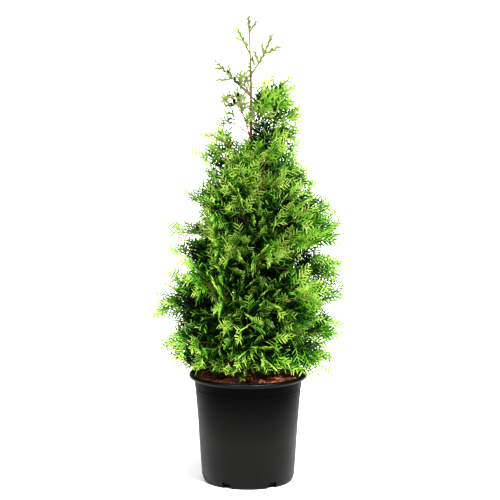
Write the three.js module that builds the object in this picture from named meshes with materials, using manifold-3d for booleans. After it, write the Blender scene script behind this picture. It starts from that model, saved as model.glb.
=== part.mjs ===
// A young western red cedar, sold as a hedging thuja, growing in a black nursery container.
//
// Millimetres, +Z up. The origin is the middle of the container's flat underside. The container
// is a tapered moulded shell filled with peat. One straight stem rises from the peat to the tip
// of the plant. Boughs leave it in a spiral, rise, arch over and end where their foliage starts.
// Every mass of foliage is one stem with side twigs, and flat toothed sprays grown on both.

import * as THREE from "three";
import { mergeVertices } from "three/addons/utils/BufferGeometryUtils.js";
import Module from "manifold-3d";

const wasm = await Module();
wasm.setup();

// ---------------------------------------------------------------- driving dimensions

const PLANT_TOP = 877; // tip of the leading shoot above the ground
const GAP = 0.3; // clearance between pieces that touch in the real plant

const POT = {
  height: 207,
  rimRadius: 112,
  neckRadius: 101.8, // outside, above the step
  shoulderRadius: 99.6, // outside, below the step
  stepHeight: 180,
  footRadius: 87.8, // outside, above the rounded foot
  footHeight: 11,
  baseRadius: 81,
  wall: 1.6,
  floor: 4,
  sides: 40,
};
const DRAIN = { count: 6, width: 17, height: 9, innerRadius: 74, firstBearing: -118 };
const PEAT = { top: 199, mound: 2.4, sides: 20 };

const TRUNK = {
  footRadius: 6.2,
  tipRadius: 0.8,
  flare: 3, // extra radius at the root flare
  flareHeight: 11,
  sway: 6,
  lean: 2,
  sides: 8,
  steps: 20,
};

const GOLDEN_ANGLE = 137.508;
const CROWN = {
  limbs: 23,
  boughs: 13, // the lower limbs, thick enough to be boughs; the rest are all foliage
  lowestTip: 206,
  highestTip: 640,
  widestHeight: 352,
  widestRadius: 186,
  taper: 0.283, // radius lost for each millimetre of height above the widest place
  skirt: 207, // height over which the crown would close below the widest place
  lowestBearing: 20,
};
const BOUGH = { radius: 2.7, endRadius: 2.0, share: 0.2, sides: 5, steps: 3 };
const STEM = { endRadius: 1.4, share: 0.55, sides: 4, steps: 2 };
const TWIG = { radius: 1.5, endRadius: 1.0, angle: 47, share: 0.36, sides: 3, count: 1 };
// Turns about the stem, in degrees. The fronds at the sides of the plant's face stand steeper
// than those at its front and back.
const LEAN = { front: 34, side: 66, apart: 62, loose: 14 };
const FROND = { thickness: 1.6, rib: 1.4, slender: 0.28, widest: 50 };
const SPRAY = { thickness: 1.2, rib: 1.3, slender: 0.32, longest: 96 };
const TOOTH = { spacing: 27, most: 5, angle: 42, web: 0.3, droop: 0.08 };

// Strong boughs outside the spiral: two that run up beside the stem and one that reaches out
// past its neighbours: [height on the stem, bearing, reach, rise, arch].
const STRONG_BOUGHS = [
  [428, -58, 88, 236, 70],
  [412, 204, 104, 186, 56],
  [392, -8, 176, 106, 8],
];

// Side shoots of the leader: [height on the stem, bearing, reach, rise, side sprays].
const LEADER_SHOOTS = [
  [846, 10, 17, 22, 0],
  [806, 178, 22, 51, 0],
  [768, 4, 48, 82, 2],
  [744, -84, 34, 50, 1],
  [728, 178, 64, 68, 2],
  [716, 96, 46, 62, 2],
  [708, 200, 50, 24, 1],
  [694, -24, 54, 80, 2],
  [682, 12, 84, 84, 2],
  [654, 172, 68, 28, 2],
  [646, -104, 66, 74, 2],
  [634, 62, 78, 90, 2],
  [622, -2, 106, 82, 3],
  [600, 216, 92, 66, 3],
  [588, 128, 92, 92, 3],
];

// ---------------------------------------------------------------- small tools

const Z_AXIS = new THREE.Vector3(0, 0, 1);
const X_AXIS = new THREE.Vector3(1, 0, 0);
const radians = THREE.MathUtils.degToRad;
const mix = THREE.MathUtils.lerp;
const limit = THREE.MathUtils.clamp;

// A repeatable value between low and high for one numbered choice.
function draw(key, low, high) {
  const wave = Math.sin(key * 12.9898 + 4.1414) * 43758.5453;
  return mix(low, high, wave - Math.floor(wave));
}

// The closed solid of a three.js geometry.
function solidOf(geometry) {
  const bare = geometry.clone();
  bare.deleteAttribute("normal");
  bare.deleteAttribute("uv");
  const merged = mergeVertices(bare, 1e-4);
  return new wasm.Manifold(
    new wasm.Mesh({
      numProp: 3,
      vertProperties: new Float32Array(merged.attributes.position.array),
      triVerts: new Uint32Array(merged.index.array),
    }),
  );
}

// The three.js geometry of a solid.
function geometryOf(solid) {
  const mesh = solid.getMesh();
  const geometry = new THREE.BufferGeometry();
  geometry.setAttribute("position", new THREE.BufferAttribute(mesh.vertProperties, 3));
  geometry.setIndex(new THREE.BufferAttribute(mesh.triVerts, 1));
  geometry.computeVertexNormals();
  return geometry;
}

// The largest body of a solid: a cut can leave a loose scrap, which is dropped.
function mainBody(solid) {
  return solid.decompose().reduce((a, b) => (a.volume() > b.volume() ? a : b));
}

// Unit vectors along a curve at t: forward, sideways and their normal.
function frameAt(curve, t, reference) {
  const along = curve.getTangent(t);
  const across = new THREE.Vector3().crossVectors(reference, along).normalize();
  const normal = new THREE.Vector3().crossVectors(along, across);
  return { point: curve.getPoint(t), along, across, normal };
}

// A round limb that follows part of a curve, with its radius given by a function of t.
function limb(curve, from, to, radiusAt, sides, steps, reference = Z_AXIS) {
  const tube = new THREE.CylinderGeometry(1, 1, 1, sides, steps);
  const place = tube.attributes.position;
  for (let i = 0; i < place.count; i++) {
    const t = mix(from, to, place.getY(i) + 0.5);
    const { point, across, normal } = frameAt(curve, t, reference);
    const radius = radiusAt(t);
    point.addScaledVector(normal, place.getX(i) * radius);
    point.addScaledVector(across, place.getZ(i) * radius);
    place.setXYZ(i, point.x, point.y, point.z);
  }
  return solidOf(tube);
}

// ---------------------------------------------------------------- container and peat

// Outside of the container from the middle of its underside to the top of the rim, then the
// inside back down to the middle of the floor.
function potProfile() {
  const { wall } = POT;
  const rimFoot = POT.height - 9;
  const outside = [
    [0, 0],
    [POT.baseRadius, 0],
    [POT.baseRadius + 4, 3.5],
    [POT.footRadius, POT.footHeight],
    [POT.shoulderRadius, POT.stepHeight],
    [POT.neckRadius, POT.stepHeight + 5],
    [POT.neckRadius + 0.6, rimFoot - 0.6],
    [POT.rimRadius - 2.2, rimFoot + 0.4],
    [POT.rimRadius, rimFoot + 4],
    [POT.rimRadius - 1.4, POT.height - 1.4],
    [POT.rimRadius - 5, POT.height],
  ];
  const inside = [
    [POT.neckRadius + 0.8, POT.height - 2.4],
    [POT.neckRadius + 0.5 - wall, rimFoot - 1],
    [POT.shoulderRadius - wall, POT.stepHeight + 1],
    [POT.footRadius - wall, POT.footHeight + 1],
    [POT.baseRadius, POT.floor],
    [0, POT.floor],
  ];
  return [...outside, ...inside].map(([radius, z]) => new THREE.Vector2(radius, z));
}

// Turns a profile about +Z. LatheGeometry turns about its own +Y.
function turned(profile, sides) {
  return new THREE.LatheGeometry(profile, sides).rotateX(Math.PI / 2);
}

function makePot() {
  let pot = solidOf(turned(potProfile(), POT.sides));
  for (let k = 0; k < DRAIN.count; k++) {
    const outer = POT.footRadius + 10;
    const notch = new THREE.BoxGeometry(outer - DRAIN.innerRadius, DRAIN.width, 2 * DRAIN.height);
    notch.translate((outer + DRAIN.innerRadius) / 2, 0, 0);
    notch.rotateZ(radians(DRAIN.firstBearing + (360 / DRAIN.count) * k));
    pot = pot.subtract(solidOf(notch));
  }
  return pot;
}

// Peat that fills the container, a gap short of its wall, with a slightly uneven top that is
// flat where the stem stands on it.
function makePeat() {
  const { wall } = POT;
  const wallAt = (z) =>
    mix(POT.footRadius, POT.shoulderRadius, (z - POT.footHeight) / (POT.stepHeight - POT.footHeight)) -
    wall -
    GAP * 2;
  const crust = [0, 17, 50, 82].map((radius) => [radius, PEAT.top]);
  const profile = [
    [0, POT.floor + GAP],
    [POT.baseRadius - 2, POT.floor + GAP],
    [wallAt(POT.footHeight + 2), POT.footHeight + 2],
    [wallAt(POT.stepHeight), POT.stepHeight],
    [wallAt(POT.stepHeight) + 0.8, PEAT.top - 3],
    ...crust.reverse(),
  ].map(([radius, z]) => new THREE.Vector2(radius, z));
  const peat = turned(profile, PEAT.sides);
  const place = peat.attributes.position;
  for (let i = 0; i < place.count; i++) {
    const x = place.getX(i);
    const y = place.getY(i);
    const radius = Math.hypot(x, y);
    if (place.getZ(i) < PEAT.top - 0.1 || radius < 20) continue;
    const rough = Math.sin(x * 0.11 + 1) * Math.cos(y * 0.13) + 0.5 * Math.sin((x - y) * 0.07);
    place.setZ(i, PEAT.top - 1 + rough * PEAT.mound * 0.5);
  }
  return solidOf(peat);
}

// ---------------------------------------------------------------- stem and boughs

// The stem's centre line: a slight lean with a slow sway and a finer kink from side to side.
class StemLine extends THREE.Curve {
  getPoint(t, target = new THREE.Vector3()) {
    const sway = TRUNK.sway * Math.sin(Math.PI * t);
    const kink = 1.1 * Math.sin(17 * t) * t;
    return target.set(
      TRUNK.lean * t + sway * 0.9 + kink,
      sway * 0.5 * Math.cos(2.2 * t) + 0.8 * Math.sin(13 * t) * t,
      mix(PEAT.top + GAP, PLANT_TOP, t),
    );
  }

  // The stem's rings stay level, so that its foot is a flat cut.
  getTangent(t, target = new THREE.Vector3()) {
    return target.copy(Z_AXIS);
  }
}

const stemLine = new StemLine();
const stemShare = (z) => (z - PEAT.top - GAP) / (PLANT_TOP - PEAT.top - GAP);

function trunkRadius(t) {
  const height = t * (PLANT_TOP - PEAT.top);
  const flare = TRUNK.flare * Math.exp(-height / TRUNK.flareHeight);
  return mix(TRUNK.footRadius, TRUNK.tipRadius, t) + flare;
}

// The trunk, or the space that it needs when clearance is added to its radius.
function makeTrunk(clearance = 0) {
  const radiusAt = (t) => trunkRadius(t) + clearance;
  return limb(stemLine, 0, 1, radiusAt, TRUNK.sides, TRUNK.steps, X_AXIS);
}

// The crown's radius at a height: a cone above its widest place, a rounded skirt below it.
function crownRadius(z) {
  const above = z - CROWN.widestHeight;
  if (above > 0) return CROWN.widestRadius - CROWN.taper * above;
  return CROWN.widestRadius * Math.sqrt(1 - (above / CROWN.skirt) ** 2);
}

// A bough's line: it leaves the stem, climbs and arches over towards its tip.
function boughLine(height, bearing, reach, rise, arch) {
  const out = new THREE.Vector3(Math.cos(radians(bearing)), Math.sin(radians(bearing)), 0);
  const start = stemLine.getPoint(stemShare(height));
  const tip = new THREE.Vector3(out.x * reach, out.y * reach, height + rise);
  const bend = new THREE.Vector3().lerpVectors(start, tip, 0.5);
  bend.z += arch;
  return new THREE.QuadraticBezierCurve3(start, bend, tip);
}

// The limbs of the crown, lowest first: tips spread evenly over the crown's surface, each one a
// golden angle round from the last, and the low ones flatter than the high ones.
function crownPlan() {
  const narrowing = crownRadius(CROWN.highestTip) / CROWN.widestRadius;
  return Array.from({ length: CROWN.limbs }, (_, k) => {
    const share = (k + 0.5) / CROWN.limbs;
    const even = (1 - Math.sqrt(1 - share * (1 - narrowing ** 2))) / (1 - narrowing);
    const tipHeight = mix(CROWN.lowestTip, CROWN.highestTip, even);
    const reach = crownRadius(tipHeight) * draw(k, 0.95, 1.03);
    const steepness = limit((tipHeight - CROWN.lowestTip) / 400, 0, 1);
    const rise = reach * mix(-0.06, 0.95, steepness ** 0.85);
    const bearing = CROWN.lowestBearing + GOLDEN_ANGLE * k + draw(k + 50, -9, 9);
    const arch = mix(26, 12, steepness);
    const bough = k < CROWN.boughs;
    return { height: tipHeight - rise, bearing, reach, rise, arch, sprays: 3, bough };
  });
}

function strongPlan() {
  return STRONG_BOUGHS.map(([height, bearing, reach, rise, arch]) => {
    return { height, bearing, reach, rise, arch, sprays: 3, bough: true };
  });
}

function leaderPlan() {
  return LEADER_SHOOTS.map(([height, bearing, reach, rise, sprays]) => {
    return { height, bearing, reach, rise, arch: reach * 0.1, sprays, bough: false };
  });
}

// Every limb with its line, a trace of points for the rule of space, and the share of its line
// that is bare bough.
function wholePlan() {
  const plans = [...crownPlan(), ...strongPlan(), ...leaderPlan()];
  for (const plan of plans) {
    plan.line = boughLine(plan.height, plan.bearing, plan.reach, plan.rise, plan.arch);
    plan.trace = plan.line.getPoints(16).slice(3);
    plan.share = plan.bough ? BOUGH.share : 0;
  }
  return plans;
}

// ---------------------------------------------------------------- foliage

// The outline of flat foliage from its neck at x = 0 to its tip, with teeth on both sides that
// point forward. The teeth on one side stand half a step behind those on the other.
function toothedOutline(length, halfWidth, rib) {
  const lean = 1 / Math.tan(radians(TOOTH.angle));
  const teeth = limit(Math.round(length / TOOTH.spacing), 2, TOOTH.most);
  const side = (sign, offset) => {
    const points = [];
    for (let k = 0; k < teeth; k++) {
      const share = (k + offset) / teeth;
      const swell = share < 0.25 ? mix(0.66, 1, share * 4) : mix(1.2, 0.2, share);
      const reach = halfWidth * Math.min(swell, 1);
      const x = length * mix(0.1, 0.88, share);
      points.push([x, sign * (rib + TOOTH.web * reach * Math.min(k, 1))]);
      points.push([Math.min(x + reach * lean, length * 0.97), sign * (rib + reach)]);
    }
    return points;
  };
  return [
    [0, -rib],
    ...side(-1, 0.05),
    [length * 0.9, -rib],
    [length, 0],
    ...side(1, 0.55).reverse(),
    [0, rib],
  ].map(([x, y]) => new THREE.Vector2(x, y));
}

// A toothed blade with each point of its flat form moved by a function (x, y, z) => point.
function blade(outline, thickness, place) {
  const flat = new THREE.ExtrudeGeometry(new THREE.Shape(outline), {
    depth: thickness,
    bevelEnabled: false,
  });
  const points = flat.attributes.position;
  for (let i = 0; i < points.count; i++) {
    const point = place(points.getX(i), points.getY(i), points.getZ(i) - thickness / 2);
    points.setXYZ(i, point.x, point.y, point.z);
  }
  return solidOf(flat);
}

// A spray that grows from a root point in the plane of along and across, and droops at its tip.
function spray(root, along, across, length, slender, thickness) {
  const outline = toothedOutline(length, length * slender, SPRAY.rib);
  const normal = new THREE.Vector3().crossVectors(along, across);
  return blade(outline, thickness, (x, y, z) => {
    const point = root.clone().addScaledVector(along, x).addScaledVector(across, y);
    point.addScaledVector(normal, z);
    point.z -= TOOTH.droop * length * (x / length) ** 2;
    return point;
  });
}

// The flat frond along a bough's own line, turned about it by roll. Its teeth droop.
function frond(line, from, roll, halfWidth, thickness) {
  const length = line.getLength() * (1 - from);
  const outline = toothedOutline(length, halfWidth, FROND.rib);
  return blade(outline, thickness, (x, y, z) => {
    const { point, along, across, normal } = frameAt(line, mix(from, 1, x / length), Z_AXIS);
    point.addScaledVector(across.applyAxisAngle(along, roll), y);
    point.addScaledVector(normal.applyAxisAngle(along, roll), z);
    point.z -= (TOOTH.droop * y ** 2) / halfWidth;
    return point;
  });
}

// The least distance from a point to the line of one bough.
function distanceTo(plan, point) {
  return Math.min(...plan.trace.map((step) => step.distanceTo(point)));
}

// Whether a piece of foliage lies in the space that is nearer to its own bough than to any other.
function keepsToItsSpace(piece, own, plans) {
  const { vertProperties, numProp } = piece.getMesh();
  for (let i = 0; i < vertProperties.length; i += numProp) {
    const point = new THREE.Vector3().fromArray(vertProperties, i);
    const mine = distanceTo(own, point) + 1.5;
    if (plans.some((other) => other !== own && distanceTo(other, point) < mine)) return false;
  }
  return true;
}

const touches = (piece, others) => others.some((other) => piece.intersect(other).volume() > 0);

// The first of a list of trial pieces that keeps to its space and is clear of what is already made.
function firstThatFits(trials, plan, plans, solids) {
  return trials.find(({ space }) => keepsToItsSpace(space, plan, plans) && !touches(space, solids));
}

// Grows the foliage of one bough or shoot: its stem, the frond that carries it on to its tip, and
// sprays that stand out of the frond's plane to the left and right in turn. The longer sprays
// stand on a twig. Foliage that would leave its space is turned about the stem, then made
// smaller, and left out if nothing helps.
function growFoliage(plan, index, plans, solids) {
  const { line } = plan;
  const lineLength = line.getLength();
  const from = plan.share ? plan.share + GAP / lineLength : 0;
  const rootRadius = plan.share ? BOUGH.endRadius : limit(lineLength / 45, 1, 2);
  const stemRadius = (t) => mix(rootRadius, STEM.endRadius, (t - from) / (STEM.share - from));
  const pieces = [limb(line, from, STEM.share, stemRadius, STEM.sides, STEM.steps)];
  const fullness = Math.min(1, lineLength / 170 + 0.12);
  const sideways = Math.cos(radians(plan.bearing)) ** 2;
  const lean = radians((index % 2 ? 1 : -1) * mix(LEAN.front, LEAN.side, sideways));

  const fronds = [];
  for (const scale of [1, 0.85, 0.7, 0.55]) {
    for (const turn of [0, 24, -24]) {
      const halfWidth = Math.min(FROND.widest, lineLength * FROND.slender * fullness) * scale;
      const start = Math.max(from, 0.16) + 0.02;
      const trial = (thickness) => frond(line, start, lean + radians(turn), halfWidth, thickness);
      fronds.push({ space: trial(FROND.thickness + 2 * GAP), made: trial(FROND.thickness) });
    }
  }
  const leading = firstThatFits(fronds, plan, plans, solids);
  if (leading) pieces.push(leading.made);

  for (let k = 0; k < plan.sprays; k++) {
    const key = index * 10 + k;
    const share = k / Math.max(plan.sprays - 1, 1);
    const at = frameAt(line, mix(Math.max(from, 0.2) + 0.06, 0.66, share), Z_AXIS);
    const angle = radians(TWIG.angle + draw(key + 400, -8, 8));
    const length = Math.min(SPRAY.longest, lineLength * 0.48) * mix(1, 0.72, share);
    const trials = [];
    for (const scale of [1, 0.8, 0.6, 0.45]) {
      for (const turn of [0, 28, -28, 56]) {
        const away = k % 4 < 2 ? LEAN.apart : -LEAN.apart;
        const tilt = lean + radians(away + turn + draw(key + 300, -LEAN.loose, LEAN.loose));
        const sideways = at.across.clone().applyAxisAngle(at.along, tilt);
        sideways.multiplyScalar((k + index) % 2 ? 1 : -1);
        const along = at.along.clone().multiplyScalar(Math.cos(angle));
        along.addScaledVector(sideways, Math.sin(angle)).normalize();
        const across = at.along.clone().addScaledVector(along, -at.along.dot(along)).normalize();
        const reach = k < TWIG.count && plan.share ? length * scale * TWIG.share : 0;
        const root = at.point.clone().addScaledVector(along, reach * 0.7);
        const trial = (thickness) =>
          spray(root, along, across, length * scale, SPRAY.slender * fullness ** 0.5, thickness);
        const made = [trial(SPRAY.thickness)];
        if (reach) {
          const twigEnd = at.point.clone().addScaledVector(along, reach);
          const twigLine = new THREE.LineCurve3(at.point, twigEnd);
          const reference = new THREE.Vector3().crossVectors(along, across);
          const taper = (t) => mix(TWIG.radius, TWIG.endRadius, t);
          made.push(limb(twigLine, 0, 1, taper, TWIG.sides, 1, reference));
        }
        trials.push({ space: trial(SPRAY.thickness + 2 * GAP), made: wasm.Manifold.union(made) });
      }
    }
    const fit = firstThatFits(trials, plan, plans, solids);
    if (fit) pieces.push(fit.made);
  }
  return mainBody(wasm.Manifold.union(pieces).subtract(makeTrunk(GAP)));
}

// ---------------------------------------------------------------- the whole plant

const FINISH = {
  pot: { color: 0x2b2b28, roughness: 0.42 },
  peat: { color: 0x5e432b, roughness: 0.95 },
  bark: { color: 0x7a4a2b, roughness: 0.85 },
  foliage: { color: 0x3f7a1c, roughness: 0.6 },
};

function meshOf(name, solid, finish) {
  const mesh = new THREE.Mesh(geometryOf(solid), new THREE.MeshStandardMaterial(FINISH[finish]));
  mesh.name = name;
  return mesh;
}

const plant = new THREE.Group();
const pot = makePot();
const peat = makePeat();
const trunk = makeTrunk();
plant.add(meshOf("pot", pot, "pot"), meshOf("peat", peat, "peat"), meshOf("trunk", trunk, "bark"));

const trunkSpace = makeTrunk(GAP);
const solids = [pot, peat, trunkSpace];
const plans = wholePlan();
const number = (list, plan) => String(list.indexOf(plan) + 1).padStart(2, "0");
const boughs = plans.filter((plan) => plan.bough);
for (const plan of boughs) {
  const taper = (t) => mix(BOUGH.radius, BOUGH.endRadius, t / BOUGH.share);
  const bough = limb(plan.line, 0, plan.share, taper, BOUGH.sides, BOUGH.steps);
  const seated = mainBody(bough.subtract(trunkSpace));
  plant.add(meshOf(`bough_${number(boughs, plan)}`, seated, "bark"));
  solids.push(seated);
}
plans.forEach((plan, index) => {
  const solid = growFoliage(plan, index, plans, solids);
  plant.add(meshOf(`foliage_${number(plans, plan)}`, solid, "foliage"));
  solids.push(solid);
});

export default plant;
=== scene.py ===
"""The looks of a young hedging thuja in a black nursery container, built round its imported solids.

The plant grows here by the same rule as its solids: limbs leave the stem in a spiral, each limb
bears sprays to the left and right, each spray bears plumes and each plume bears lobes. Plumes
and lobes are flat green strands. A growth is a dictionary of arrays with one row for each of its
members: where its line starts, bends and ends, the way its flat face turns, and so on.
The rule works in millimetres, with +Z up and -Y to the front; the meshes are made in metres.
"""

import math

import bpy
import numpy as np
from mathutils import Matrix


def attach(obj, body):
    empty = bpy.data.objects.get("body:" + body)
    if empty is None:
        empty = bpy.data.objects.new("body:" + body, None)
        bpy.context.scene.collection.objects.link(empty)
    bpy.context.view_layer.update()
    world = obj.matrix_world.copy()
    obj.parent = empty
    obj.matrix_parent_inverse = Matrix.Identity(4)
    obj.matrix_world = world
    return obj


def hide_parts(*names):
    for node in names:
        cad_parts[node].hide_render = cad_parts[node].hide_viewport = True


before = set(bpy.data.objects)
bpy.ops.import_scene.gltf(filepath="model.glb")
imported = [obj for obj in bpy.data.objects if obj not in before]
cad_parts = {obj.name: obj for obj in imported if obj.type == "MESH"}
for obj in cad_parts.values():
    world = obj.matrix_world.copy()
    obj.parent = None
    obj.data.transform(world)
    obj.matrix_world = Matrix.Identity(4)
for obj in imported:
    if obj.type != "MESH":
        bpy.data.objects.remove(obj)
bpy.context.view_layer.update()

# ---------------------------------------------------------------- driving dimensions

PLANT_TOP = 877
POT_HEIGHT = 207
PEAT_TOP = 199
DRAIN = {"count": 6, "width": 17, "height": 11, "inner": 74, "outer": 87, "first": -118}

# The stem starts a little over the peat, and it is widest there.
STEM_FOOT = PEAT_TOP + 0.3
TRUNK = {"foot": 6.2, "tip": 0.8, "flare": 3, "flare_height": 11, "sway": 6, "lean": 2, "least": 1.3}
GOLDEN_ANGLE = 137.508
CROWN = {
    "limbs": 23,
    "boughs": 13,
    "lowest": 206,
    "highest": 640,
    "widest": 352,
    "radius": 186,
    "taper": 0.283,
    "skirt": 207,
    "bearing": 20,
    "loose": 9,
    "reach": (0.95, 1.03),
    "rise": (-0.06, 0.95),
    "arch": (26, 12),
}

# The radius of a bough's foot, and the share of it that is bare.
BOUGH = {"radius": 2.7, "share": 0.2}

# How far the flat side of a limb is turned about it, on those to the front and to the sides.
LEAN = {"front": 34, "side": 66}

# Height over the lowest limb at which limbs rise their steepest, and how fast they get there.
STEEP = {"limbs": 400, "between": 330, "power": 0.85}

# Height on the stem, bearing, reach, rise and arch.
STRONG_BOUGHS = [
    [428, -58, 88, 236, 70],
    [412, 204, 104, 186, 56],
    [392, -8, 176, 106, 8],
]

# Height on the stem, bearing, reach, rise and arch.
LEADER_SHOOTS = [
    [846, 10, 17, 22, 2], [806, 178, 22, 51, 2], [768, 4, 48, 82, -14],
    [744, -84, 34, 50, 3], [728, 178, 64, 68, 2], [716, 96, 46, 62, 5],
    [708, 200, 50, 24, 5], [694, -24, 54, 80, 5], [682, 12, 84, 84, 8],
    [654, 172, 68, 28, 24], [646, -104, 66, 74, 7], [634, 62, 78, 90, 8],
    [622, -2, 106, 82, 11], [600, 216, 92, 66, 9], [588, 100, 92, 92, 9],
]

# How much growth sags on the lowest limbs and on the highest, and how dense it is there.
SAG = {"most": 1.6, "least": 0.1, "over": 240}
FINE = {"from": 600, "over": 600, "least": 0.76}

# How each order of growth stands on the one before. Lengths are in millimetres, angles in
# degrees, and first and last are shares of the parent's line. A sprout's length is a share of
# its parent's, most at the peak and less towards the foot and the end. The turns are dealt in
# order. Facing is how far a sprout's flat side leaves its parent's plane for the way that
# facing_of gives, and mood is how much its freshness varies.
SPRAYS = {
    "every": 17.5, "first": 0.08, "last": 0.82, "share": 0.56, "longest": 115, "shortest": 30,
    "foot": 0.7, "peak": 0.24, "end": 0.34, "fall": 0.9, "angle": 42, "wander": 9,
    "turns": (0, 52, -14, -56), "roll": 16, "curl": 0.14, "droop": 0.14, "facing": 0.95,
    "mood": 0.08,
}
PLUMES = {
    "every": 11, "first": 0.1, "last": 0.6, "share": 0.52, "longest": 58, "shortest": 15,
    "foot": 0.66, "peak": 0.25, "end": 0.36, "fall": 0.8, "angle": 38, "wander": 6,
    "turns": (0,), "roll": 8, "curl": 0.1, "droop": 0.06, "facing": 0,
    "mood": 0.07,
}
LOBES = {
    "every": 4.0, "first": 0.08, "last": 0.94, "share": 0.55, "longest": 18, "shortest": 9,
    "foot": 0.75, "peak": 0.3, "end": 0.55, "fall": 0.9, "angle": 46, "wander": 5,
    "turns": (0,), "roll": 7, "curl": 0.1, "droop": 0.02, "facing": 0,
    "mood": 0.015,
}
BUDS = dict(LOBES, every=3.8, first=0.2, share=0.3, longest=10, shortest=6.5, angle=32, end=0.7)

# Where on their parents the plumes start that go on along a line to its tip.
LEADING = {"limb": 0.5, "spray": 0.42}

# A member of a growth may be nearer to another limb than to its own by this much.
SPACE_MARGIN = 34

# Widths of the strands are shares of the first: plumes and lobes, those near the plant's top, and
# how much wider the least fresh and most shaded ones get.
STRAND = {
    "width": 2.4, "thickness": 1.4, "plume": 0.8, "lobe": (0.85, 1.1),
    "young_plume": 1.7, "young_lobe": 1.5, "young_from": 695, "least_fresh_and_lit": 1.3,
}

# Level sprays stand on edge, hanging ones show their face outwards, and all turn to the front.
FRONT = (0, -1, 0)
FRONT_PULL = 1.0

# Foliage over the peat stays above the hem, which rises towards the rim at the front, but for
# the sprays that trail near one bearing.
HEM = {"rise": 15, "radius": 95, "front": 50}
TRAILING = {"bearing": -101, "width": 9}

# Clearance over the peat and the rim, the radii where the rim starts and ends, and how far foliage
# may hang outside the rim, but not at the front.
CLEAR = {"peat": 4, "rim": 3, "inside": 94, "outside": 116, "hang": 8, "front": -30}

# Spaces with no foliage: middle x and z, half width, half height and half depth.
GAPS = [
    [-19, 692, 8, 18, 150], [-20, 657, 16, 12, 150], [-84, 690, 22, 26, 90], [-104, 590, 20, 28, 90],
    [-118, 512, 27, 18, 90], [-97, 463, 15, 9, 90], [-156, 420, 22, 12, 90], [-158, 366, 18, 9, 80],
    [-112, 399, 15, 10, 100], [-158, 300, 16, 12, 60], [-160, 232, 22, 9, 60], [112, 620, 18, 14, 80],
    [156, 450, 16, 10, 60], [152, 334, 16, 9, 60], [164, 258, 18, 10, 60],
]

# Places on the front with painted shade (a fall) and painted light (a rise) in freshness: middle x and z,
# size and change.
LIT_AND_SHADED_PLACES = [
    [-38, 706, 26, -0.3], [-14, 756, 20, -0.12], [30, 655, 24, -0.25], [58, 722, 40, -0.1],
    [-69, 584, 18, -0.3], [94, 590, 20, 0.25], [42, 570, 26, 0.3], [-40, 520, 24, -0.15],
    [-78, 525, 16, 0.2], [138, 420, 20, 0.2], [134, 501, 18, 0.15], [-62, 470, 20, 0.12],
    [-88, 420, 20, -0.15], [4, 430, 16, -0.2], [-99, 360, 16, -0.15], [-82, 319, 22, -0.3],
    [15, 304, 16, -0.25], [56, 262, 22, -0.3], [-155, 342, 32, 0.22], [-135, 290, 22, 0.12],
    [165, 380, 30, 0.12], [84, 545, 30, 0.2], [94, 465, 28, 0.25], [102, 385, 28, 0.2],
    [84, 290, 26, 0.3], [-106, 475, 24, 0.25], [-60, 375, 20, 0.25], [2, 385, 22, -0.2],
    [-8, 285, 24, -0.15], [-140, 235, 24, -0.12],
]

# The greens of the strands and the roughness of their skin, from the darkest to the brightest. They
# are lit and shaded copies of one green: the darker carry painted shade, the brighter painted light,
# and the brightest are also the real yellow-green of fresh tips. Some plumes are a cooler green, and
# some near the top are olive.
TINTS = {
    "foliage_deep_shade": ("#021801", 0.55),
    "foliage_shaded": ("#174203", 0.5),
    "foliage_green": ("#457b16", 0.46),
    "foliage_bright": ("#77a23c", 0.44),
    "foliage_fresh": ("#8cad4b", 0.44),
    "foliage_lit_tips": ("#a4b75f", 0.44),
    "foliage_cool_shade": ("#0c3510", 0.5),
    "foliage_cool_green": ("#35702b", 0.46),
    "foliage_olive_shade": ("#47572c", 0.5),
    "foliage_olive": ("#788455", 0.5),
}

# The freshness, with its painted light and shade, at which each of the first six greens gives way
# to the next.
TINT_STEPS = np.array([0.2, 0.31, 0.43, 0.56, 0.68])

# The share of the plumes that is cool. The olive share grows from one height to another, at the
# left or anywhere over a third height. Olive plumes less fresh and lit than shade are the darker ones.
COOL_SHARE = 0.14
OLIVE = {"from": 640, "full": 720, "left_of": 12, "all_over": 765, "share": 0.95, "shade": 0.42}

# What makes a strand fresh and lit, partly real young growth and partly painted light and shade: a
# base, and more near the top, painted light in the open where fewer strands cover it and in the
# outer crown, on a plume's middle, and from a limb's foot to a tip. The gain at the tips is given
# for the sides and the front. At the sides the open counts by a share, low down and at the top, so
# the flanks take painted shade. The back counts as front by a share, and so does the front near the
# top. Starts and ends are given for the top, for the fading of the front, and for the outer crown
# as shares of its radius.
FRESH_AND_LIGHT = {
    "base": 0.05, "top": 0.05, "open": 0.6, "outer": 0.12, "plume": 0.12, "tips": (0.08, 0.18),
    "sides": (0.7, 0.85), "back": 0.5, "front_above": 0.6,
    "top_range": (540, 680), "front_range": (420, 620), "outer_range": (0.55, 0.9),
}

# How free a strand stands, which sets how much painted shade it takes: cells of the crown, the
# number of strands farther out that hide it, and the share in which a lobe's freedom is its own and
# not its plume's.
CELL = {"degrees": 6, "height": 14}
COVER = 2.2
OWN_FREEDOM = 0.6

# Shoots that end above these heights bear plumes and no sprays, or short lobes and no plumes.
YOUNG = 745
BUDDING = 785

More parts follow.
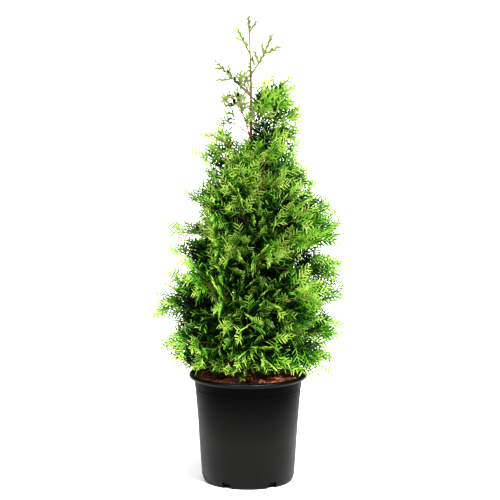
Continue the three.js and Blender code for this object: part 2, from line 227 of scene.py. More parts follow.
# Side twigs of the topmost shoots: x, y and z of the foot and of the tip.
TOP_TWIGS = [
    [-12, 0, 833, -21, -4, 838], [-4, 0, 818, -2, 4, 830], [28, 2, 807, 58, -6, 822],
    [28, 2, 808, 26, 6, 828], [19, 1, 792, 12, -5, 814], [13, 1, 785, 7, 5, 802],
    [38, 3, 829, 42, -3, 841], [-33, 1, 761, -58, -6, 761], [-33, 1, 762, -35, 6, 786],
    [-49, 2, 780, -59, 4, 782], [-14, 0, 742, -14, -8, 777], [-14, -4, 756, -22, -6, 771],
    [-14, -5, 760, -5, -2, 773], [-14, -2, 749, -26, 0, 762], [-14, -2, 748, -3, -6, 757],
    [66, 14, 738, 89, 6, 749], [62, 13, 734, 62, 4, 758], [2, 0, 717, -33, -10, 715],
    [-33, -10, 715, -49, -12, 729], [-16, -6, 716, -20, -8, 733], [-24, -8, 713, -28, -8, 729],
    [-26, -8, 713, -45, 2, 714], [-24, -4, 682, -33, -10, 715], [-26, -5, 697, -44, -8, 701],
    [-24, -4, 686, -40, -8, 691], [-22, -4, 680, -39, -2, 682],
]

# How far the line of a top twig is bent down in its middle.
TOP_TWIG_SAG = 3

# Thin limbs between the main ones, which fill the inside of the crown.
BETWEEN = {
    "limbs": 190, "lowest": 209, "highest": 600, "reach": (0.38, 0.84), "bearing": 74, "loose": 20,
    "crowding": 1.35, "slope": (0.05, 0.95), "arch": (0.34, -0.14),
}

# Slopes of the limbs whose tips are given, for the lowest and the steepest, and their arch. Both
# are shares of the reach.
CHOSEN = {"slope": (0, 0.95), "arch": 0.12}

# The longest limbs at the two sides, and the low ones at the front: tip's height, bearing, reach.
SIDE_LIMBS = [
    [612, 176, 106], [556, 184, 124], [486, 178, 157], [448, 186, 160], [410, 175, 166],
    [342, 182, 180], [257, 180, 166], [222, 187, 138],
    [666, 4, 95], [638, -8, 101], [599, 6, 120], [566, -4, 128], [536, 7, 148], [518, -6, 164],
    [496, 3, 176], [410, -3, 188], [353, 6, 188], [282, -4, 178], [236, 4, 160], [210, -8, 134],
    [704, 4, 94], [726, -10, 84], [744, 3, 80], [700, 176, 30],
    [738, -38, 56], [716, -50, 58], [690, 24, 70], [668, -40, 76], [730, 30, 62], [650, 30, 84],
    [226, -104, 100], [236, -80, 96], [240, -126, 104], [234, -52, 100], [262, -96, 128],
    [216, -28, 126], [226, -44, 120], [222, -150, 118], [218, 30, 128], [220, 152, 124],
]

# Limbs that trail over the peat at the front, and one more at the left, given in the same way.
TRAILING_LIMBS = [[205, -101, 88], [209, -98, 80], [208, -104, 76], [386, 178, 150]]

# ---------------------------------------------------------------- small tools


def linear(hex_colour):
    """The linear colour of an sRGB hex value."""
    parts = [int(hex_colour[i:i + 2], 16) / 255 for i in (1, 3, 5)]
    return tuple([c / 12.92 if c <= 0.04045 else ((c + 0.055) / 1.055) ** 2.4 for c in parts] + [1])


def mix(low, high, share):
    """The value that lies a share of the way from low to high."""
    return low + (high - low) * share


def between(value, first, last):
    """From 0 at first to 1 at last, and level before and after."""
    return np.clip((value - first) / (last - first), 0, 1)


def draw(key, low, high):
    """Repeatable values between low and high, one for each number in key."""
    wave = np.sin(np.asarray(key, float) * 12.9898 + 4.1414) * 43758.5453
    return mix(low, high, wave - np.floor(wave))


def unit(vectors):
    """Vectors scaled to a length of one."""
    return vectors / np.maximum(np.linalg.norm(vectors, axis=-1, keepdims=True), 1e-9)


def turned(vectors, axes, degrees):
    """Vectors turned about unit axes: v cos a + (axis x v) sin a + axis (axis . v)(1 - cos a)."""
    a = np.radians(degrees)[..., None]
    along = np.sum(axes * vectors, axis=-1, keepdims=True) * axes
    return vectors * np.cos(a) + np.cross(axes, vectors) * np.sin(a) + along * (1 - np.cos(a))


def taken(growth, chosen):
    """The same growth with only the chosen members."""
    return {name: values[chosen] for name, values in growth.items()}


def put_together(*growths):
    """Several growths as one, with what the first of them says of its members."""
    return {name: np.concatenate([g[name] for g in growths]) for name in growths[0]}


def piece(name, points, faces, finish, smooth=False):
    """A finished object from points in millimetres and an array of triangles or of quads."""
    mesh = bpy.data.meshes.new(name)
    faces = np.asarray(faces, np.int32)
    corners = faces.shape[1]
    mesh.vertices.add(len(points))
    mesh.vertices.foreach_set("co", (np.asarray(points) * 0.001).astype(np.float32).ravel())
    mesh.loops.add(faces.size)
    mesh.loops.foreach_set("vertex_index", faces.ravel())
    mesh.polygons.add(len(faces))
    mesh.polygons.foreach_set("loop_start", np.arange(len(faces), dtype=np.int32) * corners)
    mesh.polygons.foreach_set("use_smooth", np.full(len(faces), smooth))
    mesh.update(calc_edges=True)
    mesh.validate()
    mesh.materials.append(finish)
    obj = bpy.data.objects.new(name, mesh)
    bpy.context.scene.collection.objects.link(obj)
    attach(obj, "root")
    return obj


def sheet_faces(rows, columns):
    """Quads of a grid of rows x columns points, whose columns close into a ring."""
    row, column = np.meshgrid(np.arange(rows - 1), np.arange(columns), indexing="ij")
    across = (column + 1) % columns
    quads = [row * columns + column, row * columns + across]
    quads += [(row + 1) * columns + across, (row + 1) * columns + column]
    return np.stack(quads, -1).reshape(-1, 4)


def halved(quads):
    """Two triangles for each quad."""
    return np.concatenate([quads[:, [0, 1, 2]], quads[:, [0, 2, 3]]])


def disc_faces(columns, first, centre, upward):
    """Triangles from a ring of points, whose first is given, to one centre point."""
    around = np.arange(columns)
    following = (around + 1) % columns
    fan = np.stack([around + first, following + first, around * 0 + centre], -1)
    return fan if upward else fan[:, ::-1]


def end_faces(rows, columns):
    """Fans that close the first and last ring of a grid, to the two points that come after it."""
    count = rows * columns
    under = disc_faces(columns, 0, count, False)
    return np.concatenate([under, disc_faces(columns, count - columns, count + 1, True)])


def closed_faces(rows, columns):
    """Triangles of a grid whose columns close into a ring and whose ends are closed by fans."""
    return np.concatenate([halved(sheet_faces(rows, columns)), end_faces(rows, columns)])


def carried_round(profile, angle):
    """A profile of radius and height carried round: point = (radius cos a, radius sin a, height)."""
    radius, height = profile[:, :1], profile[:, 1:]
    points = np.stack([radius * np.cos(angle), radius * np.sin(angle), height + 0 * angle], -1)
    return points.reshape(-1, 3)


# ---------------------------------------------------------------- stem and limbs


def stem_point(t):
    """The stem's centre line: a lean and a slow sway sin(pi t), with a finer kink sin(17 t)."""
    sway = TRUNK["sway"] * np.sin(np.pi * t)
    x = TRUNK["lean"] * t + sway * 0.9 + 1.1 * np.sin(17 * t) * t
    y = sway * 0.5 * np.cos(2.2 * t) + 0.8 * np.sin(13 * t) * t
    return np.stack([x, y, mix(STEM_FOOT, PLANT_TOP, t)], -1)


def stem_share(z):
    """The share of the stem that lies below a height."""
    return (z - STEM_FOOT) / (PLANT_TOP - STEM_FOOT)


def stem_radius(t):
    """A straight taper, with a root flare that falls off as exp(-height / flare height)."""
    height = t * (PLANT_TOP - PEAT_TOP)
    return mix(TRUNK["foot"], TRUNK["tip"], t) + TRUNK["flare"] * np.exp(-height / TRUNK["flare_height"])


def crown_radius(z):
    """A cone above the crown's widest place and a rounded skirt below it."""
    above = z - CROWN["widest"]
    skirt = np.sqrt(np.maximum(1 - (above / CROWN["skirt"]) ** 2, 0))
    return np.where(above > 0, CROWN["radius"] - CROWN["taper"] * above, CROWN["radius"] * skirt)


def steepness(height, kind):
    """From 0 for the lowest limbs to 1 where they rise their steepest."""
    return between(height, CROWN["lowest"], CROWN["lowest"] + STEEP[kind])


def crown_limbs():
    """Rows of height, bearing, reach, rise, arch and bare share, with tips a golden angle apart.

    The tips are spread evenly over the crown's surface, which narrows like a cone.
    """
    k = np.arange(CROWN["limbs"])
    narrowing = crown_radius(np.array(CROWN["highest"])) / CROWN["radius"]
    share = (k + 0.5) / CROWN["limbs"]
    even = (1 - np.sqrt(1 - share * (1 - narrowing**2))) / (1 - narrowing)
    tip = mix(CROWN["lowest"], CROWN["highest"], even)
    reach = crown_radius(tip) * draw(k, *CROWN["reach"])
    steep = steepness(tip, "limbs")
    rise = reach * mix(*CROWN["rise"], steep ** STEEP["power"])
    bearing = CROWN["bearing"] + GOLDEN_ANGLE * k + draw(k + 50, -CROWN["loose"], CROWN["loose"])
    bare = np.where(k < CROWN["boughs"], BOUGH["share"], 0)
    return np.stack([tip - rise, bearing, reach, rise, mix(*CROWN["arch"], steep), bare], -1)


def between_limbs():
    """Rows as in crown_limbs, for thin limbs that stop inside the crown."""
    k = np.arange(BETWEEN["limbs"])
    share = ((k + 0.5) / BETWEEN["limbs"]) ** BETWEEN["crowding"]
    height = mix(BETWEEN["lowest"], BETWEEN["highest"], share)
    steep = steepness(height, "between")
    slope = mix(*BETWEEN["slope"], steep ** STEEP["power"])
    reach = crown_radius(height + 50 * slope) * draw(k + 900, *BETWEEN["reach"])
    bearing = BETWEEN["bearing"] + GOLDEN_ANGLE * k + draw(k + 950, -BETWEEN["loose"], BETWEEN["loose"])
    arch = reach * mix(*BETWEEN["arch"], np.clip(steep * 1.3, 0, 1))
    return np.stack([height, bearing, reach, reach * slope, arch, k * 0.0], -1)


def chosen_limbs(tips):
    """Rows as in crown_limbs, for limbs whose tips are given."""
    tip, bearing, reach = np.array(tips, float).T
    slope = mix(*CHOSEN["slope"], steepness(tip, "limbs") ** STEEP["power"])
    rise = np.minimum(reach * slope, tip - CROWN["lowest"])
    return np.stack([tip - rise, bearing, reach, rise, reach * CHOSEN["arch"], reach * 0], -1)


def grow_limbs():
    """Every limb as a curved line (1-t)^2 start + 2t(1-t) bend + t^2 tip, arched between its ends.

    The thin limbs that would end in a gap or on the container are left out. Growth sags most on
    the lowest limbs, and it is sparser on the highest.
    """
    strong = np.array([row + [BOUGH["share"]] for row in STRONG_BOUGHS], float)
    leader = np.array([row + [0] for row in LEADER_SHOOTS], float)
    others = [chosen_limbs(SIDE_LIMBS), between_limbs(), chosen_limbs(TRAILING_LIMBS)]
    rows = np.concatenate([crown_limbs(), strong, leader, *others])
    height, bearing, reach, rise, arch, bare = rows.T
    start = stem_point(stem_share(height))
    aim = np.radians(bearing)
    tip = np.stack([np.cos(aim) * reach, np.sin(aim) * reach, height + rise], -1)
    bend = (start + tip) / 2 + np.stack([arch * 0, arch * 0, arch], -1)
    key = np.arange(len(height)) * 37.0 + 11
    limbs = {"start": start, "bend": bend, "tip": tip, "aim": aim, "bare": bare, "key": key}
    over = tip[:, 2] - CROWN["lowest"]
    limbs["sag"] = np.clip(SAG["most"] - over / SAG["over"], SAG["least"], SAG["most"])
    limbs["fine"] = np.clip(1 - (tip[:, 2] - FINE["from"]) / FINE["over"], FINE["least"], 1)
    limbs["mood"] = draw(key + 77, -0.05, 0.05)
    limbs["main"] = np.arange(len(height)) < CROWN["limbs"] + len(strong) + len(leader)
    limbs = taken(limbs, limbs["main"] | (clear_of_pot(limbs) & out_of_gaps(limbs)))

    number = np.arange(len(limbs["key"]))
    limbs["limb"] = limbs["owner"] = number
    limbs["length"] = line_length(limbs)
    along = unit(limbs["tip"] - limbs["start"])
    lean = np.where(number % 2, 1, -1) * mix(LEAN["front"], LEAN["side"], np.cos(limbs["aim"]) ** 2)
    limbs["normal"] = turned(unit(np.array([0, 0, 1.0]) - along * along[:, 2:]), along, lean)
    limbs["place"] = number * 0.0
    return limbs


# ---------------------------------------------------------------- growth


def on_line(growth, t):
    """The point and the unit direction at t on each line of a growth."""
    t = np.asarray(t, float)[:, None]
    start, bend, tip = growth["start"], growth["bend"], growth["tip"]
    point = (1 - t) ** 2 * start + 2 * t * (1 - t) * bend + t**2 * tip
    return point, unit((1 - t) * (bend - start) + t * (tip - bend))


def line_length(growth, steps=12):
    """The length of each line, as the sum of its chords."""
    t = np.linspace(0, 1, steps + 1)[:, None, None]
    start, bend, tip = growth["start"], growth["bend"], growth["tip"]
    points = (1 - t) ** 2 * start + 2 * t * (1 - t) * bend + t**2 * tip
    return np.linalg.norm(np.diff(points, axis=0), axis=-1).sum(0)


def swell(share, rule):
    """Rises straight from foot to 1 at peak, then falls to end as a power of the rest."""
    rest = np.clip((share - rule["peak"]) / (1 - rule["peak"]), 0, 1)
    rising = mix(rule["foot"], 1, share / rule["peak"])
    return np.where(share < rule["peak"], rising, mix(1, rule["end"], rest ** rule["fall"]))


def facing_of(point, way, flat):
    """The way a spray's face looks: to its side if the spray is level, outwards if it hangs.

    Both are pulled to the front, made square to the spray and put on the side of its flat.
    """
    hanging = np.clip(np.abs(way[:, 2:]) * 1.3, 0, 1)
    on_edge = unit(np.cross(way, np.array([0, 0, 1.0])) + 1e-6)
    outward = unit(point * np.array([1, 1, 0]) + np.array([0, 0, 20.0]))
    on_edge = on_edge * np.where(np.sum(on_edge * outward, -1, keepdims=True) < 0, -1, 1)
    target = mix(on_edge, outward, hanging) + np.array(FRONT) * FRONT_PULL
    target = unit(target - way * np.sum(target * way, -1, keepdims=True))
    return target * np.where(np.sum(target * flat, -1, keepdims=True) < 0, -1, 1)


def sprout(parents, rule):
    """Side growth on each parent, to the left and right in turn, under one of the rules above.

    A sprout leaves at an angle to its parent, in the parent's flat plane turned about the parent
    by a roll. Its line is bent towards the parent's tip by its curl and hangs by its droop. Its
    key, by which its own draws repeat, is worked out from its parent's key and its order there.
    """
    first = np.maximum(rule["first"], parents["bare"] + 0.03)
    span = rule["last"] - first
    counts = np.round(parents["length"] * parents["fine"] * span / rule["every"])
    counts = np.maximum(counts, 2).astype(int)
    owner = np.repeat(np.arange(len(counts)), counts)
    order = np.arange(len(owner)) - np.repeat(np.cumsum(counts) - counts, counts)
    own = taken(parents, owner)
    key = own["key"] * 1.37 + order * 5.13 + 0.71
    share = (order + 0.5 + draw(key, -0.22, 0.22)) / counts[owner]
    point, along = on_line(own, first[owner] + span[owner] * share)

    side = np.where((order + own["limb"]) % 2, 1.0, -1.0)
    flat = unit(own["normal"] - along * np.sum(own["normal"] * along, -1, keepdims=True))
    turns = np.array(rule["turns"])[(order // 2) % len(rule["turns"])]
    roll = turns + draw(key + 3, -rule["roll"], rule["roll"])
    flat = turned(flat, along, roll * side)
    across = np.cross(flat, along) * side[:, None]
    opening = rule["angle"] * mix(0.5, 1, own["fine"])
    angle = np.radians(opening + draw(key + 5, -rule["wander"], rule["wander"]))[:, None]
    way = unit(along * np.cos(angle) + across * np.sin(angle))
    if rule["facing"]:
        flat = mix(flat, facing_of(point, way, flat), rule["facing"] * draw(key + 9, 0.5, 1)[:, None])
        flat = unit(flat - way * np.sum(flat * way, -1, keepdims=True))

    length = np.minimum(own["length"] * rule["share"], rule["longest"]) * swell(share, rule)
    length = np.maximum(length * draw(key + 7, 0.86, 1.1), rule["shortest"])[:, None]
    curled = along * rule["curl"] - np.array([0, 0, 1.0]) * rule["droop"] * own["sag"][:, None]
    grown = {
        "start": point,
        "bend": point + way * length * 0.5,
        "tip": point + (way + curled) * length,
        "normal": flat,
        "limb": own["limb"],
        "bare": share * 0,
        "sag": own["sag"],
        "place": own["place"] + share,
        "mood": own["mood"] + draw(key + 13, -1, 1) * rule["mood"],
        "fine": own["fine"],
        "owner": owner,
        "key": key,
    }
    grown["length"] = line_length(grown)
    return grown


def leading_part(parents, first):
    """The last part of each parent's own line, from the share first to its tip."""
    point, _ = on_line(parents, np.full(len(parents["key"]), first))
    led = dict(parents)
    led["start"] = point
    led["bend"] = parents["bend"] * (1 - first) + parents["tip"] * first
    led["length"] = line_length(led)
    led["bare"] = parents["bare"] * 0
    return led


def in_its_space(growth, limbs, margin):
    """Whether the middle of each member is nearer to its own limb than to any other, or nearly."""
    middle, _ = on_line(growth, np.full(len(growth["key"]), 0.6))
    nearest = np.full((len(limbs["key"]), len(middle)), 1e9)
    for t in np.linspace(0.19, 1, 14):
        steps, _ = on_line(limbs, np.full(len(limbs["key"]), t))
        away = np.linalg.norm(steps[:, None] - middle[None], axis=-1)
        nearest = np.minimum(nearest, away)
    own = nearest[growth["limb"], np.arange(len(middle))]
    return own < nearest.min(0) + margin


def clear_of_pot(growth):
    """Whether the middle and tip of each member are outside the rim, or over the hem and off the rim."""
    clear = np.ones(len(growth["key"]), bool)
    for t in (0.5, 1.0):
        point, _ = on_line(growth, np.full(len(clear), t))
        x, y, z = point.T
        radius = np.hypot(x, y)
        trailing = np.abs(np.degrees(np.arctan2(y, x)) - TRAILING["bearing"]) < TRAILING["width"]
        rise = HEM["rise"] * np.clip(radius / HEM["radius"], 0, 1) ** 2 * np.clip(-y / HEM["front"], 0, 1)
        hem = PEAT_TOP + CLEAR["peat"] + np.where(trailing, 0, rise)
        hang = np.where(y > CLEAR["front"], CLEAR["hang"], 0)
        outside = (radius > CLEAR["outside"]) & (z > POT_HEIGHT - hang)
        clear &= (z > hem) | outside
        clear &= (z > POT_HEIGHT + CLEAR["rim"]) | outside | (radius < CLEAR["inside"])
    return clear


def out_of_gaps(growth):
    """Whether three points along each member are outside every gap, an ellipsoid."""
    clear = np.ones(len(growth["key"]), bool)
    for t in (0.3, 0.65, 1.0):
        point, _ = on_line(growth, np.full(len(clear), t))
        for x, z, half_width, half_height, half_depth in GAPS:
            away = (point - np.array([x, 0, z])) / np.array([half_width, half_depth, half_height])
            clear &= np.sum(away**2, -1) > 1
    return clear


def top_growth(limbs):
    """The topmost shoots, their side twigs and the end of the stem, which all bear short lobes."""
    shoots = taken(limbs, limbs["tip"][:, 2] > BUDDING)
    lines = np.array(TOP_TWIGS, float)
    stem_end = stem_point(stem_share(np.array([PLANT_TOP - 34.0, PLANT_TOP])))
    foot = np.concatenate([lines[:, :3], stem_end[:1]])
    tip = np.concatenate([lines[:, 3:], stem_end[1:]])
    count = len(foot)
    twigs = taken(shoots, np.zeros(count, int))
    twigs["start"], twigs["tip"] = foot, tip
    twigs["bend"] = (foot + tip) / 2 - np.array([0, 0, 1.0]) * TOP_TWIG_SAG
    twigs["bend"][-1, 2] += TOP_TWIG_SAG
    twigs["normal"] = np.tile([0.1, -1.0, 0.1], (count, 1))
    twigs["key"] = np.arange(count) * 7.3 + 500
    twigs["length"] = line_length(twigs)
    grown = put_together(shoots, twigs)
    grown["bare"] = np.where(grown["length"] > 40, 0.25, 0.1)
    return grown


# ---------------------------------------------------------------- meshes of growth


def tubes(growth, foot, end, sides, steps, last=1.0, ridge=0.0):
    """Round tapering limbs: rings of points about each line, closed by a point at either end.

    The radius goes from foot to end as a power of t, times 1 + ridge sin(5 angle + 3 sin(9 t)),
    which furrows the bark. The tubes stop at the share last of their lines.
    """
    count = len(growth["key"])
    t = np.linspace(0, last, steps + 1)
    angle = np.arange(sides) * 2 * np.pi / sides
    rings = []
    for step in t:
        point, along = on_line(growth, np.full(count, step))
        across = unit(np.cross(growth["normal"], along))
        up = np.cross(along, across)
        radius = mix(foot, end, (step / last) ** 0.6)[:, None] * np.ones(sides)
        radius = radius * (1 + ridge * np.sin(5 * angle + 3 * math.sin(9 * step)))
        ring = across[:, None] * np.cos(angle)[:, None] + up[:, None] * np.sin(angle)[:, None]
        rings.append(point[:, None] + ring * radius[..., None])
    tip, _ = on_line(growth, np.full(count, last))
    points = [np.stack(rings, 1).reshape(count, -1, 3), growth["start"][:, None], tip[:, None]]
    return many(np.concatenate(points, 1), closed_faces(steps + 1, sides))


def strand_mesh(growth):
    """Flat strands of twelve faces: a seven-sided outline, and one ridge point over its middle."""
    count = len(growth["key"])
    rows = []
    for t, wide in ((0.0, 0.8), (0.42, 1.0), (0.82, 0.72)):
        point, along = on_line(growth, np.full(count, t))
        across = unit(np.cross(growth["normal"], along))
        half = across * (growth["width"] * wide / 2)[:, None]
        rows += [point - half, point + half]
        if wide == 1:
            rows.append(point + unit(np.cross(along, across)) * STRAND["thickness"])
    points = np.stack([*rows, growth["tip"]], 1)
    upper = [[0, 2, 4], [2, 5, 4], [5, 7, 4], [7, 6, 4], [6, 3, 4], [3, 1, 4], [1, 0, 4]]
    under = [[0, 1, 3], [0, 3, 2], [2, 3, 6], [2, 6, 5], [5, 6, 7]]
    faces = upper + under
    return many(points, np.array(faces))


def many(points, faces):
    """Points and faces of many like forms, as one list of each."""
    count, size = points.shape[:2]
    shifts = np.arange(count)[:, None, None] * size
    return points.reshape(-1, 3), (faces[None] + shifts).reshape(-1, faces.shape[1])


# ---------------------------------------------------------------- materials


def add(tree, kind, links=None, stops=(), **settings):
    """A node with its settings, and links from other nodes' outputs to its inputs.

    The stops of a colour ramp, two or more, are pairs of a position and a hex colour.
    """
    node = tree.nodes.new(kind)
    for name, value in settings.items():
        if hasattr(node, name):
            setattr(node, name, value)
        else:
            node.inputs[name.replace("_", " ")].default_value = value
    for name, output in (links or {}).items():
        tree.links.new(output, node.inputs[name])
    for _ in stops[2:]:
        node.color_ramp.elements.new(0.5)
    for number, (position, colour) in enumerate(stops):
        node.color_ramp.elements[number].position = position
        node.color_ramp.elements[number].color = linear(colour)
    return node


def material(name):
    """A new material with its tree and its surface shader."""
    made = bpy.data.materials.new(name)
    made.use_nodes = True
    tree = made.node_tree
    return made, tree, tree.nodes["Principled BSDF"]


def set_on(shader, **values):
    """Values set directly on the shader's own sockets."""
    for name, value in values.items():
        shader.inputs[name.replace("_", " ")].default_value = value


def cells(size):
    """How many cells of a pattern lie in a metre, for cells of a size in millimetres."""
    return 1000 / size


def foliage_finish(name, colour, roughness):
    """Living scale leaves: a thin waxy skin over green, so soft highlights and no deep gloss."""
    made, _, shader = material(name)
    set_on(shader, Base_Color=linear(colour), Roughness=roughness, Specular_IOR_Level=0.1)
    return made


def bark_finish():
    """Young bark: thin red-brown skin with long tan fibres; it turns greenish tan near the top."""
    made, tree, shader = material("young_bark")
    place = add(tree, "ShaderNodeTexCoord").outputs["Object"]
    size = (cells(1.11), cells(1.11), cells(14.3))
    stretched = add(tree, "ShaderNodeMapping", {"Vector": place}, Scale=size).outputs["Vector"]
    fibre = add(tree, "ShaderNodeTexNoise", {"Vector": stretched}, Scale=1, Detail=4).outputs["Fac"]
    browns = [(0.3, "#4c2617"), (0.5, "#7a462c"), (0.7, "#a07048")]
    colour = add(tree, "ShaderNodeValToRGB", {"Fac": fibre}, browns).outputs["Color"]
    height = add(tree, "ShaderNodeSeparateXYZ", {"Vector": place}).outputs["Z"]
    upper = add(tree, "ShaderNodeMapRange", {"Value": height}, From_Min=0.66, From_Max=0.84)
    green = add(tree, "ShaderNodeMix", {"Factor": upper.outputs["Result"]}, data_type="RGBA")
    tree.links.new(colour, green.inputs[6])
    green.inputs[7].default_value = linear("#66663a")
    tree.links.new(green.outputs[2], shader.inputs["Base Color"])
    relief = add(tree, "ShaderNodeBump", {"Height": fibre}, Strength=0.5, Distance=0.0006)
    tree.links.new(relief.outputs["Normal"], shader.inputs["Normal"])
    set_on(shader, Roughness=0.78)
    return made


def twig_finish():
    """This year's twigs: smooth skin with a dull shine, tan and green in patches."""
    made, tree, shader = material("green_twig")
    place = add(tree, "ShaderNodeTexCoord").outputs["Object"]
    patches = add(tree, "ShaderNodeTexNoise", {"Vector": place}, Scale=cells(16.7), Detail=3)
    greens = [(0.35, "#3f4a16"), (0.5, "#5c5a22"), (0.65, "#7a5428")]
    colour = add(tree, "ShaderNodeValToRGB", {"Fac": patches.outputs["Fac"]}, greens)
    tree.links.new(colour.outputs["Color"], shader.inputs["Base Color"])
    set_on(shader, Roughness=0.6)
    return made


def pot_finish():
    """Injection-moulded black polypropylene: satin, duller in scuffed patches, with painted shade that
    darkens it towards the rim and a painted sheen by height.

    The grain of the mould is drawn coarser than the real one, so that it shows.
    """
    made, tree, shader = material("black_polypropylene")
    place = add(tree, "ShaderNodeTexCoord").outputs["Object"]
    scuffs = add(tree, "ShaderNodeTexNoise", {"Vector": place}, Scale=cells(35.7), Detail=5, Roughness=0.6)
    rough = add(tree, "ShaderNodeMapRange", {"Value": scuffs.outputs["Fac"]}, To_Min=0.3, To_Max=0.5)
    tree.links.new(rough.outputs["Result"], shader.inputs["Roughness"])
    height = add(tree, "ShaderNodeSeparateXYZ", {"Vector": place}).outputs["Z"]
    rim = POT_HEIGHT / 1000
    upward = add(tree, "ShaderNodeMapRange", {"Value": height}, From_Max=rim).outputs["Result"]
    # Painted shade: the black darkens from low on the wall up to the rim, as under the rim's overhang.
    rim_shade_blacks = [(0.4, "#0e0e0c"), (0.9, "#020202")]
    tint = add(tree, "ShaderNodeValToRGB", {"Fac": upward}, rim_shade_blacks)
    tree.links.new(tint.outputs["Color"], shader.inputs["Base Color"])
    # Painted sheen: reflection is strongest low down, fades under the rim as painted shade and rises on the
    # lip as a painted highlight.
    greys = [(0.4, "#8a8a8a"), (0.8, "#4c4c4c"), (0.94, "#404040"), (0.965, "#969696")]
    painted_sheen = add(tree, "ShaderNodeValToRGB", {"Fac": upward}, greys)
    tree.links.new(painted_sheen.outputs["Color"], shader.inputs["Specular IOR Level"])
    grain = add(tree, "ShaderNodeTexNoise", {"Vector": place}, Scale=cells(0.91), Detail=2).outputs["Fac"]
    relief = add(tree, "ShaderNodeBump", {"Height": grain}, Strength=0.12, Distance=0.0003)
    tree.links.new(relief.outputs["Normal"], shader.inputs["Normal"])
    return made


def peat_finish():
    """Milled peat with composted bark: matt and red-brown, with painted shade that makes it nearly black
    down its side inside the wall.
    """
    made, tree, shader = material("peat_compost")
    place = add(tree, "ShaderNodeTexCoord").outputs["Object"]
    coarse = add(tree, "ShaderNodeTexNoise", {"Vector": place}, Scale=cells(8.33), Detail=6, Roughness=0.7)
    browns = [(0.32, "#4c2e1e"), (0.48, "#ac6a4a"), (0.64, "#eab088")]
    colour = add(tree, "ShaderNodeValToRGB", {"Fac": coarse.outputs["Fac"]}, browns)
    height = add(tree, "ShaderNodeSeparateXYZ", {"Vector": place}).outputs["Z"]
    # Painted shade: below 150 mm the side turns nearly black, as it lies in shade inside the container.
    painted_shade_fade = add(tree, "ShaderNodeMapRange", {"Value": height}, From_Min=0.15, From_Max=0.19)
    shade = add(tree, "ShaderNodeMix", {"Factor": painted_shade_fade.outputs["Result"]}, data_type="RGBA")
    shade.inputs[6].default_value = linear("#0c0705")
    tree.links.new(colour.outputs["Color"], shade.inputs[7])
    tree.links.new(shade.outputs[2], shader.inputs["Base Color"])
    fine = add(tree, "ShaderNodeTexNoise", {"Vector": place}, Scale=cells(2), Detail=4).outputs["Fac"]
    relief = add(tree, "ShaderNodeBump", {"Height": fine}, Strength=0.8, Distance=0.001)
    tree.links.new(relief.outputs["Normal"], shader.inputs["Normal"])
    set_on(shader, Roughness=0.95)
    return made


# ---------------------------------------------------------------- container


def arc(centre, radius, first, last, count):
    """Points of a profile on an arc: centre + radius (cos a, sin a), from one angle to another."""
    angle = np.radians(np.linspace(first, last, count))[:, None]
    return np.array(centre) + radius * np.concatenate([np.cos(angle), np.sin(angle)], 1)


# Outside of the wall from the foot to the rim, then the inside back down: radius and height. The
# outside and the inside have as many points below the top of the drain holes.
OUTSIDE = np.concatenate([
    [[DRAIN["inner"], 0]], arc((80.6, 5.4), 5.4, -90, 0, 5),
    [[87.8, 11], [90.4, 44], [92.3, 76], [94.4, 108], [96.7, 136], [98.4, 158], [98.8, 163],
     [99.6, 167], [99.8, 173], [99.9, 176.4], [100.3, 177.2], [100, 178], [100.1, 180.4],
     [101, 181.3], [101.2, 182.2], [100.8, 183.2], [101.4, 185], [101.9, 196], [102.4, 197.2],
     [104, 197.7]]])
LIP = arc((107.4, 202.4), 4.6, -78, 150, 10)
INSIDE = np.concatenate([
    [[101.4, 198], [100.5, 185], [99.9, 180], [98.2, 173], [98, 160], [95.1, 136], [92.8, 108],
     [90.7, 76], [88.8, 44], [86, 11]],
    arc((79.8, 9), 5, 0, -90, 5), [[DRAIN["inner"], 4]]])


# Columns of points from one side of a drain hole to the other, and over the wall to the next.
HOLE_COLUMNS = 9
WALL_COLUMNS = 33


def wall_bearings():
    """The bearings of the wall's columns, which meet the sides of each drain hole."""
    half = DRAIN["width"] / 2 / DRAIN["outer"]
    apart = 2 * math.pi / DRAIN["count"]
    found = []
    for middle in np.radians(DRAIN["first"] + 360.0 / DRAIN["count"] * np.arange(DRAIN["count"])):
        found.append(np.linspace(middle - half, middle + half, HOLE_COLUMNS))
        found.append(np.linspace(middle + half, middle + apart - half, WALL_COLUMNS)[1:-1])
    return np.concatenate(found)


def wall_faces(rows, columns, outer, inner):
    """Quads of the wall but for the drain holes, whose sides, top and foot are faced across the wall.

    The profile's rows outer and inner bound each hole, from its foot to its top.
    """
    quads = sheet_faces(rows, columns)
    row, column = quads[:, 0] // columns, quads[:, 0] % columns
    sector = columns // DRAIN["count"]
    low = np.isin(row, [*outer[:-1], *inner[1:]])
    faces = [quads[~(low & (column % sector < HOLE_COLUMNS - 1))]]
    for first in np.arange(DRAIN["count"]) * sector:
        for column, forward in ((first, False), (first + HOLE_COLUMNS - 1, True)):
            a, b = outer * columns + column, inner * columns + column
            side = np.stack([a[:-1], a[1:], b[1:], b[:-1]], -1)
            faces.append(side if forward else side[:, ::-1])
        column = first + np.arange(HOLE_COLUMNS - 1)
        for row, upper in ((-1, True), (0, False)):
            a, b = outer[row] * columns + column, inner[row] * columns + column
            edge = np.stack([a, a + 1, b + 1, b], -1)
            faces.append(edge[:, ::-1] if upper else edge)
    return np.concatenate(faces)


